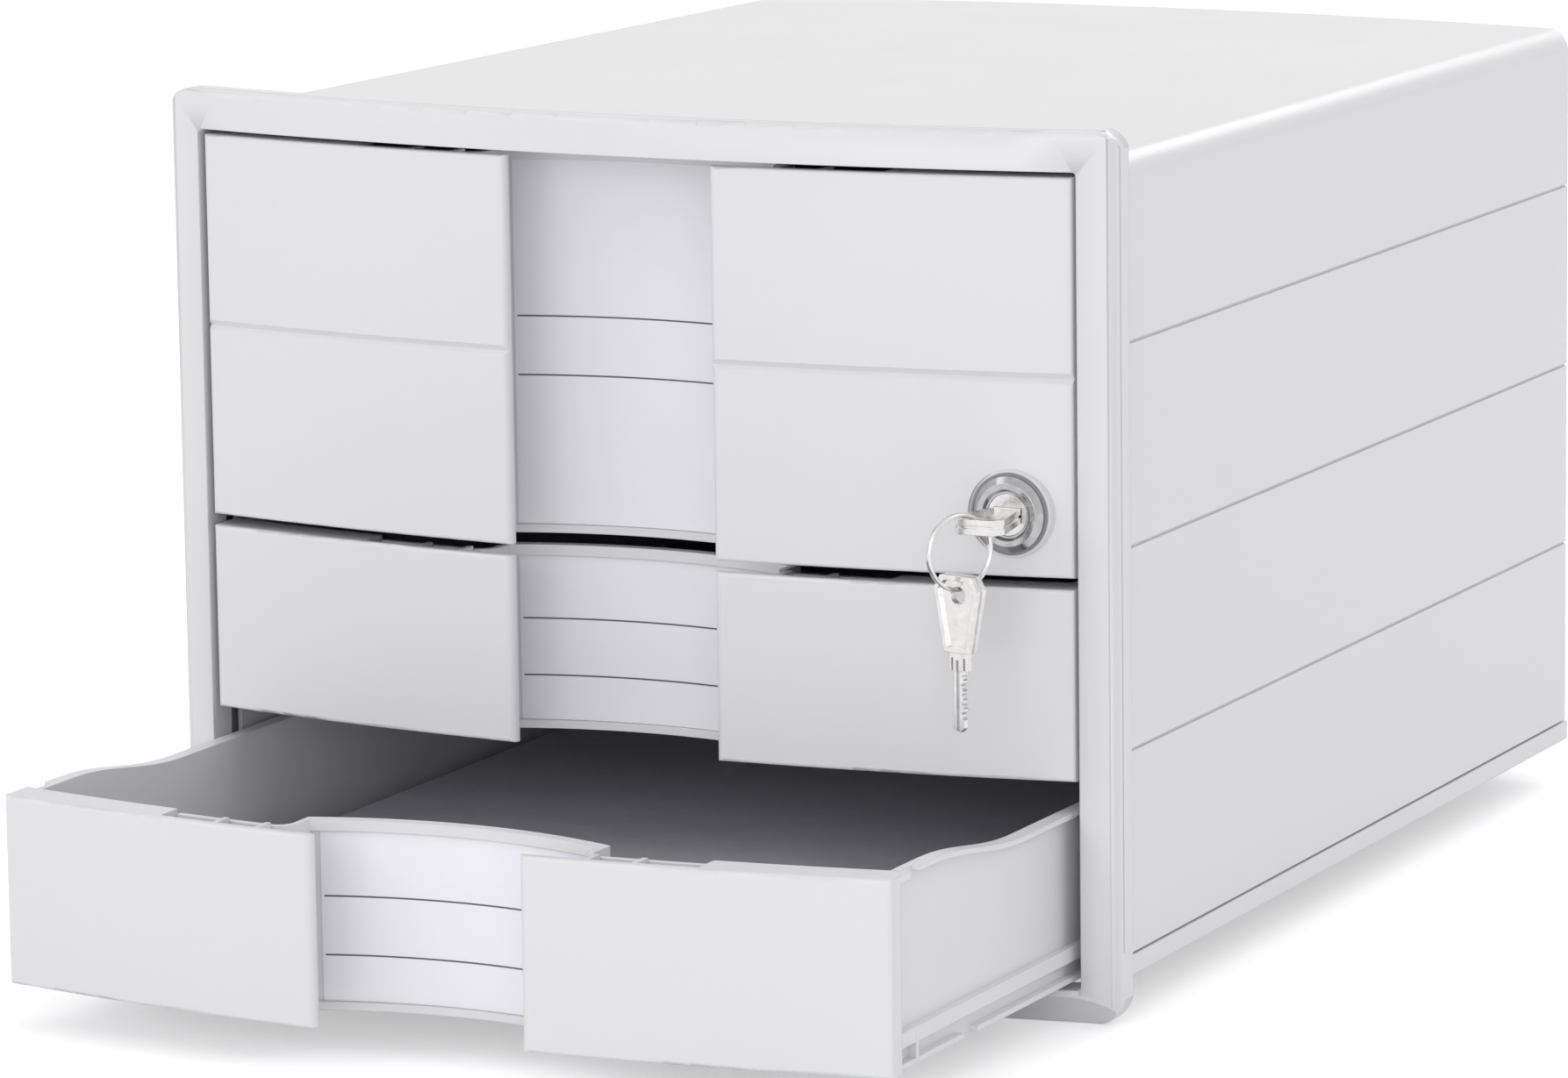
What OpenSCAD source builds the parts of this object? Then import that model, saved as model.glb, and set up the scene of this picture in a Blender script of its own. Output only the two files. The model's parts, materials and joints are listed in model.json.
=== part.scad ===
// Desktop file drawer: a casing with a curved front frame, one double-height drawer with a
// cam lock and two single drawers, the lowest pulled part way out.
// x = 0 is the symmetry plane, y = 0 the frame's front corners, z = 0 the surface it stands on.

/* [Casing] */
// Width of the front frame
frame_w = 280; // [270:1:300]
// Height of the front frame
frame_h = 235.5; // [235:0.5:245]
// Radius of the bowed front, seen from above
front_r = 680; // [500:10:1200]
// Depth of the frame, front to back
frame_t = 9.6; // [8:0.2:11]
// Casing depth from the frame's front corners to its rear corners
casing_l = 342; // [340:1:380]
// How much narrower the casing is at the back, each side
taper_side = 4.2; // [3:0.1:4.2]
// How much lower the casing is at the back
taper_top = 3; // [1:0.1:3]
// Bow of the rear edge, seen from above
rear_bow = 16; // [10:1:24]
// Wall of the casing shell
shell_t = 2; // [1.5:0.1:2.2]
// Step from the frame's side in to the casing
frame_step = 1.8; // [1:0.1:2]
// Step from the frame's top down to the casing
top_step = 7; // [6:0.5:8]
// Radius of the casing's long upper edges
shell_edge_r = 6.5; // [4:0.5:8]
// Height of the frame's opening above the surface
opening_z = 10.2; // [10:0.1:11]
// Height of the frame above its opening
top_rail_h = 10.5; // [10:0.1:12]
// Margin of the frame beside the opening
stile_w = 9.7; // [9:0.1:10]

/* [Drawers] */
// Gap between neighbouring drawer fronts
front_gap = 3; // [2:0.1:4]
// Gap between drawer front and stile
side_gap = 1.5; // [1:0.1:2]
// How far the drawer fronts lie behind the frame's face
front_recess = 1; // [0.5:0.1:1.5]
// Half of the space between left and right front panels
panel_inner_x = 30; // [26:1:34]
// Thickness of a front panel's skin
skin_t = 2.6; // [2:0.1:3]
// From the front panel's face to the back of the tray's front wall
front_depth = 11; // [10:0.5:12]
// Wall of the trays
tray_t = 2; // [1.5:0.1:2.4]
// From the frame's side in to a tray's side
tray_in = 14.5; // [14.5:0.1:15.5]
// Length of a tray from the frame's corners to its rear
tray_l = 332; // [325:1:333]
// Drop of the tray's side rim behind the front
rim_drop = 5.2; // [3:0.1:7]
// How far the open drawer is pulled out
open_by = 110; // [0:5:200]
// Width of the finger recess
recess_w = 84; // [78:1:88]
// Radius of the finger recess's curved wall
recess_r = 120; // [100:5:160]
// Deepest point of the finger recess
recess_y = 17; // [15:0.5:19]

/* [Label] */
// Width of the label
label_w = 80; // [70:1:80]
// Thickness of the label card
card_t = 0.4; // [0.2:0.1:0.6]
// Thickness of the clear window
window_t = 0.8; // [0.6:0.1:1]

/* [Lock and keys] */
// From the frame's side in to the lock's axis
lock_in = 27.5; // [27:0.5:32]
// Lock's height above its drawer slot
lock_up = 18.2; // [16:0.1:20]
// Diameter of the lock's barrel
barrel_d = 16; // [14:0.5:17]
// Diameter of the turning plug
plug_d = 11; // [9:0.5:11.5]
// Radius of the cam's tip
cam_r = 20.5; // [19.5:0.1:21]
// Thickness of the cam
cam_t = 1.6; // [1.2:0.1:1.8]
// Outer diameter of the key ring
ring_d = 20.5; // [19:0.5:24]
// Thickness of the key ring's wire
wire_d = 1.1; // [0.9:0.05:1.2]
// Hole in the keys
key_hole_d = 4.6; // [4.2:0.1:5]

/* [Base] */
// Diameter of a rubber foot
foot_d = 16; // [12:1:18]
// Height of a rubber foot
foot_h = 2.5; // [2:0.1:3]
// Thickness of the base pan's floor
pan_t = 1.7; // [1.4:0.1:1.8]

/* [Clearances] */
// Running clearance between moving pieces
run_gap = 0.3; // [0.2:0.05:0.4]
// Gap between fixed pieces
seat_gap = 0.1; // [0.05:0.05:0.15]
// Radial clearance of the turning plug
plug_gap = 0.05; // [0.02:0.01:0.1]

/* [Hidden] */
$fn = 48;
bow_fn = 720;      // facets of the large bow circles
big = 600;         // larger than the object, for cutters
ahead = 60;        // where cutters start, in front of the frame's corners
eps = 0.01;

plastic = "gainsboro";
dark = "dimgray";
steel = "silver";

// Bow of the front: all concentric surfaces share this centre
front_cy = sqrt(front_r * front_r - frame_w * frame_w / 4);
face_r = front_r - front_recess;
wall_front_r = face_r - front_depth + tray_t;
wall_back_r = face_r - front_depth;
frame_back_r = front_r - frame_t;
function bow_y(r, x) = front_cy - sqrt(r * r - x * x);

// Slots and the opening: four slot heights, the upper two taken by the double drawer
pitch = (frame_h - top_rail_h - opening_z) / 4;
slot0 = opening_z;
slot1 = slot0 + pitch;
slot2 = slot0 + 2 * pitch;
opening_hw = frame_w / 2 - stile_w;
opening_top = slot0 + 4 * pitch;
single_h = pitch - front_gap / 2;
double_h = 2 * pitch - front_gap / 2;
panel_hw = opening_hw - side_gap;
tray_hw = frame_w / 2 - tray_in;

// Casing shell
shell_hw = frame_w / 2 - frame_step;
shell_top = frame_h - top_step;
rear_hw = shell_hw - taper_side;
rear_r = (rear_hw * rear_hw + rear_bow * rear_bow) / (2 * rear_bow);
rear_cy = casing_l + rear_bow - rear_r;
side_slope = taper_side / casing_l;
top_slope = taper_top / casing_l;
joint_z = 17.8;
joint_h = 0.8;
joint_in = 0.7;
joint_gap = 0.5;
groove_z = joint_z - slot0;

// Frame corners, seen from the front
frame_corner_r = 6;
plinth_corner_r = 9;
corner_over = 0.3;
corner_grow = 1.7 * corner_over;
corner_band = 20;
frame_edge_r = 1.8;
opening_corner_r = 1;
step_back = 4.4;
step_w = 0.6;
step_d = 0.4;
step_low = 20;
scoop_in = 30;
scoop_hw = frame_w / 2 - scoop_in;
scoop_r = 16;
scoop_out = 7.4;
scoop_down = 5.9;

// Frame tongues, which the cover and the pan sit on
top_tongue_in = 28.2;
top_tongue_hw = shell_hw - top_tongue_in;
tongue_t = 1.8;
tongue_l = 6;
pan_tongue_in = 26.3;
pan_tongue_hw = opening_hw - pan_tongue_in;
pan_tongue_t = 1.9;
pan_tongue_l = 7.5;

// Base
rail_t = 8;
rail_in = 20;
rail_hw = frame_w / 2 - rail_in;
rib_t = 1.6;
rib_h = 3;
rib_ys = [110, 180, 250];
rib_over = 20;
foot_in = 50;
foot_x = frame_w / 2 - foot_in;
foot_ys = [45, 310];
boss_d = foot_d + 4;
pan_front_y = 24.5;
strip_t = 1.9;
strip_proud = 0.5;
flange_z = 12;
flange_t = 2;
strip_corner_r = 3;
riser_gap = 3.1;
riser_x = tray_hw + riser_gap;
riser_t = 1.5;
floor_over = 0.6;
rear_in = 0.6;
rear_t = 2.5;
lip_h = 9;
lip_wall = 1.2;

// Runners
plate_gap = 5.3;
plate_x = tray_hw + plate_gap;
plate_t = 1.2;
plate_y0 = 14;
shelf_y0 = 18;
plate_over = 3;
plate_y1 = tray_l + plate_over;
shelf_gap = 0.7;
shelf_x = tray_hw + shelf_gap;
lip_y1 = (shell_in_x(0) - 2 * run_gap - lip_wall - plate_x - plate_t) / side_slope;
shelf_up = 7.3;
shelf_t = 2;
keeper_t = 1.5;
bar_h = 4;
bar_w = 2.3;
bar_x = tray_hw + bar_w;
bar_back = 8;
notch_y = 42;
notch_l = 8;
tray_up = 2.1;
tray_corner_r = 5;
lower_flange_t = 1.5;
rim_t = 1.5;
rib_y = 14;
rim_front_y = 25;
rim_back_y = 80;
low_front_y = 30;

// Finger recess
recess_cy = recess_y - recess_r;
recess_hw = recess_w / 2;
turn_r = 6;
turn_x = recess_hw + turn_r;
recess_low = 0.8;
recess_top_cut = 1;
sill_h = 2.2;
lip_t = 3;
sill_out = 1.5;

// Lock's axis
lock_x = frame_w / 2 - lock_in;
lock_z = slot2 + lock_up;

// Front panels
fillet = 1;
inner_fillet = 2.4;
ledge_x = 78;
ledge_t = 2;
end_depth = 5;
end_wall = 2;
pocket_x = 47;
pocket_rib_x = 60;
web = 1.6;
peg_d = 5;
peg_in = 12;
peg_to_lock = 20.5;
peg_xs = [ledge_x - peg_in, lock_x - peg_to_lock];
peg_l = 40;
peg_over = 0.4;
peg_up = 12;
groove_h = 3;
groove_d = 1.3;

// Lock, on an axis along y
lock_seat_y = -5;
key_tip_y = -27;
bow_l = 20;
collar_t = 0.5;
collar_d = 21.6;
flange_d = 20;
flange_d2 = 16.6;
flange_h = 2;
flange_rim = 0.6;
flange_y = lock_seat_y - collar_t - flange_h;
boss_back_y = 8.9;
seat_d = 23;
nut_t = 1.4;
nut_flats = 19;
cam_y = boss_back_y + nut_t + 0.5;
cam_w = 8;
cam_turn_gap = 1;
square = 6;
screw_d = 3;
screw_in = 4.5;
screw_head_d = 9;
screw_head_h = 1.4;
cam_hub_d = 15;
plug_end = 0.1;
plug_y = key_tip_y + bow_l + run_gap;
keyway_w = 8;
keyway_h = 2.2;

// Keys and ring
bow_tip_w = 14;
bow_neck_w = 8;
bow_web_t = 2;
bow_rim_t = 4;
bow_rim_w = 1.3;
bow_cut = 2;
bow_cut_l = 3.6;
bow_groove_w = 0.8;
bow_groove_d = 0.3;
key_in = 10.4;
spare_shoulder_w = 5.7;
spare_t = 2.2;
hole_back = 5.2;
hole_y = key_tip_y + hole_back;
blade_w = 6.4;
blade_t = 1.8;
spare_blade_w = 3.4;
spare_l = 41;
spare_shoulder_l = 5;
ring_turn = 61;
spare_turn = 78;
hang = key_hole_d / 2 - wire_d / 2 - run_gap;
ring_in = 7.3;
ring_down = 6.4;
wire_rows = 1.7;
ring_mean_r = ring_d / 2 - wire_d / 2;
ring_c = [lock_x - ring_in * cos(ring_turn), hole_y - ring_in * sin(ring_turn), lock_z - ring_down];

// Paper in the open drawer
paper_side = 9.5;
paper_w = 2 * (tray_hw - tray_t - paper_side);
paper_l = 300;
paper_h = 13.7;
paper_y = 26;

// ---------- shared shapes ----------

module bow_disc(r) {
    translate([0, front_cy]) circle(r, $fn = bow_fn);
}

// A radial section, in distance behind the bow's centre and height, swept along the bow
module bow_sweep(half_w) {
    a = asin(half_w / front_r) + 1;
    translate([0, front_cy, 0]) rotate([0, 0, 270 - a])
        rotate_extrude(angle = 2 * a, $fn = bow_fn) children();
}

module round_square(x0, y0, x1, y1, r) {
    translate([x0 + r, y0]) square([x1 - x0 - 2 * r, y1 - y0]);
    translate([x0, y0 + r]) square([x1 - x0, y1 - y0 - 2 * r]);
    for (x = [x0 + r, x1 - r], y = [y0 + r, y1 - r]) translate([x, y]) circle(r);
}

module both_sides() {
    children();
    mirror([1, 0, 0]) children();
}

module along_y(y) {
    translate([0, y, 0]) rotate([-90, 0, 0]) children();
}

// A front view swept through the depth, from y0 to behind the object
module through_depth(y0) {
    translate([0, big, 0]) rotate([90, 0, 0]) linear_extrude(big - y0) children();
}

// ---------- casing ----------

module shell_slice(y, inset) {
    hw = shell_hw - side_slope * y - inset;
    top = shell_top - top_slope * y - inset;
    r = shell_edge_r - inset;
    along_y(y) linear_extrude(eps) union() {
        translate([-hw, -top + r]) square([2 * hw, top - r - joint_z]);
        translate([-hw + r, -top]) square([2 * hw - 2 * r, r + eps]);
        for (s = [-1, 1]) translate([s * (hw - r), -top + r]) circle(r);
    }
}

module shell_form(inset) {
    hull() {
        shell_slice(-5, inset);
        shell_slice(casing_l + rear_bow + 2, inset);
    }
}

module behind_frame(gap) {
    translate([0, 0, -eps]) linear_extrude(frame_h + 2 * eps) intersection() {
        bow_disc(frame_back_r - gap);
        translate([-big / 2, -ahead]) square([big, big]);
    }
}

module before_rear(inset) {
    translate([0, rear_cy, -eps])
        cylinder(r = rear_r - inset, h = frame_h + 2 * eps, $fn = bow_fn);
}

// Half width of the shell's inner face at depth y
function shell_in_x(y) = shell_hw - shell_t - side_slope * y;

module housing_cover() color(plastic) intersection() {
    difference() {
        shell_form(0);
        translate([0, 0, -eps]) shell_form(shell_t);
        for (k = [1:3], s = [-1, 1])
            translate([s * shell_hw, 0, slot0 + groove_z + k * pitch])
                rotate([0, 0, s * atan(side_slope)])
                    translate([-joint_in, -20, 0]) cube([2 * joint_in, big, joint_h]);
        translate([-big / 2, -20, -1]) cube([big, big, joint_z + 1]);
    }
    behind_frame(seat_gap);
    before_rear(0);
}

module rear_panel() color(plastic) {
    top = shell_top - top_slope * (casing_l + rear_bow) - shell_t - run_gap;
    low = joint_z - joint_gap + seat_gap;
    hw = shell_in_x(casing_l) - run_gap;
    corner = shell_edge_r + corner_over;
    intersection() {
        difference() {
            translate([0, rear_cy, low]) cylinder(r = rear_r - rear_in, h = top - low, $fn = bow_fn);
            translate([0, rear_cy, low - 1]) cylinder(r = rear_r - rear_in - rear_t, h = top, $fn = bow_fn);
        }
        through_depth(0) {
            difference() {
                translate([-hw, 0]) square([2 * hw, frame_h]);
                both_sides() translate([hw - corner, top - corner]) difference() {
                    square(2 * corner);
                    circle(shell_edge_r + corner_grow);
                }
            }
        }
    }
}

module strip_plan(inset) {
    x0 = shell_hw + strip_proud - inset;
    y1 = casing_l + 2 * rear_bow;
    x1 = x0 - side_slope * y1;
    intersection() {
        polygon([[-x0, 0], [x0, 0], [x1, y1], [-x1, y1]]);
        bow_disc(frame_back_r - seat_gap);
        translate([0, rear_cy]) circle(rear_r + strip_proud - inset, $fn = bow_fn);
    }
}

module base_pan() color(plastic) {
    difference() {
        union() {
            // outer strip with its flange, and the lip that locates the cover
            difference() {
                translate([0, 0, flange_z]) linear_extrude(joint_z - joint_gap - flange_z) strip_plan(0);
                translate([0, 0, flange_z + flange_t]) linear_extrude(joint_z) strip_plan(strip_t);
                translate([0, 0, flange_z - 1]) linear_extrude(joint_z) intersection() {
                    strip_plan(strip_t);
                    translate([-riser_x, -ahead]) square([2 * riser_x, big]);
                }
            }
            both_sides() translate([0, 0, flange_z]) linear_extrude(lip_h) intersection() {
                difference() {
                    strip_plan(strip_proud + shell_t + run_gap);
                    strip_plan(strip_proud + shell_t + run_gap + lip_wall);
                }
                translate([tray_hw / 2, shelf_y0]) square([big, lip_y1 - shelf_y0]);
            }
            // floor, front edge on the frame's tongue, and the risers at both sides
            translate([0, 0, opening_z]) linear_extrude(pan_t) intersection() {
                strip_plan(strip_t + floor_over);
                translate([-riser_x - riser_t, pan_front_y]) square([2 * (riser_x + riser_t), big]);
            }
            both_sides() translate([0, 0, opening_z]) linear_extrude(flange_z + flange_t - opening_z)
                intersection() {
                    strip_plan(strip_t + floor_over);
                    translate([riser_x, pan_front_y]) square([riser_t, big]);
                }
            // foot bosses and the ribs between them
            for (x = [-foot_x, foot_x], y = foot_ys)
                translate([x, y, foot_h]) cylinder(d = boss_d, h = opening_z - foot_h);
            for (x = [-foot_x, 0, foot_x])
                translate([x - rib_t / 2, foot_ys[0], opening_z - rib_h])
                    cube([rib_t, foot_ys[1] - foot_ys[0], rib_h]);
            for (y = rib_ys) translate([-foot_x - rib_over, y, opening_z - rib_h])
                cube([2 * (foot_x + rib_over), rib_t, rib_h]);
        }
        // rounded lower rear edges of the strip
        for (s = [-1, 1]) translate([s * (shell_hw + strip_proud - side_slope * casing_l), casing_l, flange_z])
            difference() {
                translate(-strip_corner_r * [1, 1, 1]) cube(2 * strip_corner_r);
                translate(strip_corner_r * [-s, -1, 1]) sphere(2 * strip_corner_r);
            }
    }
}

// Front view of the frame; its corner arcs cross the outer faces at a slight angle
module frame_outline() {
    top_c = frame_corner_r + corner_over;
    low_c = plinth_corner_r + corner_over;
    translate([-frame_w / 2 - 1, low_c]) square([frame_w + 2, frame_h - top_c - low_c]);
    translate([-frame_w / 2 + top_c, frame_h - corner_band]) square([frame_w - 2 * top_c, corner_band + 1]);
    translate([-frame_w / 2 + low_c, -1]) square([frame_w - 2 * low_c, corner_band + 1]);
    both_sides() {
        translate([frame_w / 2 - top_c, frame_h - top_c]) circle(frame_corner_r + corner_grow);
        translate([frame_w / 2 - low_c, low_c]) circle(plinth_corner_r + corner_grow);
    }
}

module front_frame() color(plastic) {
    top_tongue_z = shell_top - shell_t - run_gap;
    difference() {
        union() {
            intersection() {
                bow_sweep(frame_w / 2) {
                    translate([frame_back_r, 0]) square([frame_t - frame_edge_r, frame_h]);
                    translate([front_r - frame_edge_r - eps, 0])
                        square([frame_edge_r + eps, frame_h - frame_edge_r]);
                    translate([front_r - frame_edge_r, frame_h - frame_edge_r]) circle(frame_edge_r);
                }
                linear_extrude(frame_h) {
                    translate([-frame_w / 2, frame_edge_r + 0.2]) square([frame_w, big]);
                    translate([-frame_w / 2 + frame_edge_r, -ahead]) square([frame_w - 2 * frame_edge_r, big]);
                    both_sides() translate([frame_w / 2 - frame_edge_r, frame_edge_r + 0.1])
                        circle(frame_edge_r);
                }
                through_depth(-ahead) frame_outline();
            }
            // tongues that the cover and the pan sit on
            translate([0, 0, top_tongue_z - tongue_t]) linear_extrude(tongue_t) intersection() {
                difference() {
                    bow_disc(frame_back_r + 2);
                    bow_disc(frame_back_r - tongue_l);
                }
                translate([-top_tongue_hw, -ahead]) square([2 * top_tongue_hw, big]);
            }
            translate([0, 0, opening_z - seat_gap - pan_tongue_t]) linear_extrude(pan_tongue_t) intersection() {
                bow_disc(frame_back_r + 2);
                translate([-pan_tongue_hw, -ahead]) square([2 * pan_tongue_hw, ahead + pan_front_y + pan_tongue_l]);
            }
            // rail behind the plinth, which the cabinet stands on
            linear_extrude(opening_z - seat_gap - 1) intersection() {
                difference() {
                    bow_disc(frame_back_r + 2);
                    bow_disc(frame_back_r - rail_t);
                }
                translate([-rail_hw, -ahead]) square([2 * rail_hw, big]);
            }
        }
        // the opening
        through_depth(-ahead) round_square(-opening_hw, opening_z, opening_hw, opening_top, opening_corner_r);
        // step line round the frame's outer edge
        intersection() {
            bow_sweep(frame_w / 2)
                translate([front_r - step_back, -1]) square([step_w, frame_h + 2]);
            difference() {
                translate([-big / 2, -ahead, step_low]) cube([big, big, big]);
                translate([-frame_w / 2 + step_d, -2 * ahead, -1])
                    cube([frame_w - 2 * step_d, 2 * big, frame_h - step_d + 1]);
            }
        }
        // scooped plinth
        bow_sweep(scoop_hw) translate([front_r + scoop_out, -scoop_down]) circle(scoop_r, $fn = 96);
    }
}

// ---------- runners ----------

module runner_plan(x0, x_gap, y0) {
    polygon([[x0, y0], [shell_in_x(y0) - x_gap, y0],
        [max(shell_in_x(plate_y1) - x_gap, plate_x + plate_t), plate_y1], [x0, plate_y1]]);
}

module guide_right() color(plastic) {
    low = flange_z + flange_t + run_gap;
    high = shell_top - taper_top - shell_edge_r - 1;
    translate([plate_x, plate_y0, low]) cube([plate_t, plate_y1 - plate_y0, high - low]);
    for (k = [0:3]) {
        z = slot0 + k * pitch;
        // the lowest shelf stays clear of the pan's lip
        translate([0, 0, z + shelf_up - shelf_t]) linear_extrude(shelf_t) intersection() {
            runner_plan(shelf_x, run_gap, shelf_y0);
            translate([0, 0]) square([k == 0 ? plate_x + plate_t : big, big]);
        }
        translate([shelf_x, shelf_y0, z + shelf_up + bar_h + 2 * run_gap])
            cube([plate_x + eps - shelf_x, plate_y1 - shelf_y0, keeper_t]);
    }
}

module guide_left() {
    mirror([1, 0, 0]) guide_right();
}

module rubber_feet() color(dark)
    for (x = [-foot_x, foot_x], y = foot_ys) translate([x, y, 0]) {
        cylinder(d = foot_d, h = foot_h);
    }

// ---------- trays ----------

// The space in front of the recess wall; grow moves it back into the wall
module recess_plan(grow) {
    intersection() {
        translate([0, recess_cy]) circle(recess_r + grow, $fn = bow_fn);
        translate([-recess_hw - grow, -ahead]) square([recess_w + 2 * grow, big]);
    }
    for (s = [-1, 1]) difference() {
        translate([s > 0 ? recess_hw + grow - 1 : -turn_x, -ahead])
            square([turn_r - grow + 1, ahead + turn_cy()]);
        translate([s * turn_x, turn_cy()]) circle(turn_r - grow);
    }
}

function turn_cy() = bow_y(wall_front_r, turn_x) + turn_r;

module tray_plan(inset) {
    r = tray_corner_r - inset;
    hw = tray_hw - inset;
    difference() {
        intersection() {
            bow_disc(wall_front_r - inset);
            union() {
                translate([-hw, -ahead]) square([2 * hw, tray_l - inset - r + ahead]);
                translate([-hw + r, -ahead]) square([2 * hw - 2 * r, tray_l - inset + ahead]);
                for (s = [-1, 1]) translate([s * (hw - r), tray_l - inset - r]) circle(r);
            }
        }
        recess_plan(inset);
    }
}

// Side view of the rim: high at the front, an S-bend, then level
module rim_profile(low, high, drop) {
    span = rim_back_y - rim_front_y;
    steps = 16;
    polygon(concat(
        [[-ahead, low], [-ahead, high], [rim_front_y, high]],
        [for (i = [1:steps]) [rim_front_y + span * i / steps,
            high - drop * (1 - cos(180 * i / steps)) / 2]],
        [[tray_l + 5, high - drop], [tray_l + 5, low]]));
}

module across(x0, x1) {
    translate([x0, 0, 0]) rotate([90, 0, 90]) linear_extrude(x1 - x0) children();
}

module tray(slot, h) {
    low = slot + tray_up;
    high = slot + h;
    wall_top = high - ledge_t - seat_gap;
    difference() {
        union() {
            // shell with its S-bend rim
            intersection() {
                difference() {
                    translate([0, 0, low]) linear_extrude(high - low) tray_plan(0);
                    translate([0, 0, low + tray_t]) linear_extrude(high) tray_plan(tray_t);
                    // the panel's ledge lies on the front wall
                    translate([0, 0, wall_top]) linear_extrude(h) difference() {
                        translate([-big / 2, -ahead]) square([big, 2 * ahead]);
                        bow_disc(wall_back_r - run_gap);
                        translate([-ledge_x + 1, -ahead]) square([2 * ledge_x - 2, 2 * ahead]);
                    }
                    // panel pockets stay lower than the rim between them
                    translate([0, 0, high - recess_top_cut]) linear_extrude(h)
                        translate([-ledge_x, -ahead]) square([2 * ledge_x, ahead + low_front_y]);
                }
                across(-tray_hw - 1, tray_hw + 1) rim_profile(slot, high, rim_drop);
            }
            // recess wall runs below the floor
            translate([0, 0, slot + recess_low]) linear_extrude(tray_up - recess_low + eps) intersection() {
                difference() {
                    tray_plan(0);
                    tray_plan(tray_t);
                }
                translate([-turn_x, -ahead]) square([2 * turn_x, ahead + recess_y + tray_t + 2]);
            }
            // sill and lip that hold the label
            for (z = [[slot + recess_low, sill_h], [high - recess_top_cut - lip_t, lip_t]])
                translate([0, 0, z[0]]) linear_extrude(z[1]) intersection() {
                    difference() {
                        translate([0, recess_cy]) circle(recess_r + eps, $fn = bow_fn);
                        translate([0, recess_cy]) circle(recess_r - sill_out, $fn = bow_fn);
                    }
                    translate([-recess_hw, 0]) square([recess_w, big]);
                }
            // runner ledge, lower flange and the upright rib at the front
            both_sides() {
                translate([tray_hw - eps, rib_y, slot + shelf_up + run_gap])
                    cube([bar_x - tray_hw, tray_l - rib_y - bar_back, bar_h]);
                difference() {
                    translate([tray_hw - eps, rib_y, low])
                        cube([bar_x - tray_hw, tray_l - rib_y - bar_back, lower_flange_t]);
                    translate([tray_hw, notch_y, low - 1]) cube([plate_x - tray_hw, notch_l, lower_flange_t + 2]);
                }
                translate([tray_hw - eps, rib_y, low])
                    cube([bar_x - tray_hw, rib_t, shelf_up + run_gap + bar_h - tray_up]);
                // outward flange along the rim
                intersection() {
                    translate([tray_hw - eps, rim_front_y - bar_back, slot])
                        cube([bar_x - tray_hw, tray_l - rim_front_y, h]);
                    across(tray_hw - 1, bar_x) difference() {
                        rim_profile(slot, high, rim_drop);
                        translate([0, -rim_t]) rim_profile(slot - 2 * rim_t, high, rim_drop);
                    }
                }
            }
        }
        // peg holes
        both_sides() for (x = peg_xs, z = [slot + peg_up, high - peg_up])
            translate([x, 0, z]) rotate([90, 0, 0]) cylinder(d = peg_d + 2 * seat_gap, h = peg_l, center = true);
    }
}

// ---------- front panels ----------

// Plan of a panel from x0 to x1, with its front corners rounded by f0 and f1
module panel_plan(x0, x1, depth, f0, f1) {
    intersection() {
        difference() {
            bow_disc(face_r);
            bow_disc(face_r - depth);
        }
        union() {
            translate([x0 + f0, -ahead]) square([x1 - x0 - f0 - f1, big]);
            translate([x0 + f0, bow_y(face_r - f0, x0 + f0)]) circle(f0);
            translate([x0, bow_y(face_r - f0, x0 + f0)]) square([f0 + eps, big]);
            translate([x1 - f1, bow_y(face_r - f1, x1 - f1)]) circle(f1);
            translate([x1 - f1 - eps, bow_y(face_r - f1, x1 - f1)]) square([f1 + eps, big]);
        }
    }
}

// Radial section with rounded front edges
module panel_section(z0, z1) {
    translate([face_r - front_depth - 1, z0]) square([front_depth + 1 - fillet, z1 - z0]);
    translate([face_r - fillet - eps, z0 + fillet]) square([fillet + eps, z1 - z0 - 2 * fillet]);
    for (z = [z0 + fillet, z1 - fillet]) translate([face_r - fillet, z]) circle(fillet);
}

// Room behind a depth of the panel, between two distances from the middle
module panel_room(x0, x1, depth, z0, z1) {
    translate([0, 0, z0]) linear_extrude(z1 - z0) intersection() {
        bow_disc(face_r - depth);
        translate([x0, -ahead]) square([x1 - x0, big]);
    }
}

module panel_right(slot, h) {
    low = slot - 1;
    top = slot + h + 1;
    shelf = slot + h - ledge_t;
    web_depth = front_depth - tray_t - run_gap;
    difference() {
        intersection() {
            bow_sweep(frame_w / 2) panel_section(slot + front_gap / 2, slot + h);
            translate([0, 0, low]) linear_extrude(h + 2)
                panel_plan(panel_inner_x, panel_hw, front_depth, inner_fillet, fillet);
        }
        // open behind the grip edge and in the two pocket cells
        panel_room(panel_inner_x - 1, pocket_x, skin_t, low, top);
        panel_room(pocket_x + web, pocket_rib_x, skin_t, low, top);
        panel_room(pocket_rib_x + web, ledge_x, skin_t, low, top);
        panel_room(pocket_x - 1, ledge_x, web_depth, low, top);
        // under the closed ledge
        panel_room(ledge_x + web, panel_hw - end_wall, skin_t, low, shelf);
        panel_room(ledge_x - 1, panel_hw - end_wall, web_depth, low, shelf);
        panel_room(panel_hw - end_wall - 1, panel_hw + 2, end_depth, low, shelf);
    }
    // pegs that clip into the tray
    for (x = peg_xs, z = [slot + peg_up, slot + h - peg_up]) intersection() {
        translate([x, 0, z]) rotate([90, 0, 0]) cylinder(d = peg_d, h = peg_l, center = true);
        linear_extrude(frame_h) difference() {
            bow_disc(face_r - skin_t + 1);
            bow_disc(wall_back_r - peg_over);
        }
    }
}

module panel_left(slot, h) {
    mirror([1, 0, 0]) panel_right(slot, h);
}

module panel_groove() {
    z = slot2 + pitch;
    bow_sweep(frame_w / 2) polygon([[face_r - groove_d, z], [face_r + 1, z - groove_h / 2 - 1],
        [face_r + 1, z + groove_h / 2 + 1]]);
}

// ---------- labels ----------

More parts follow.
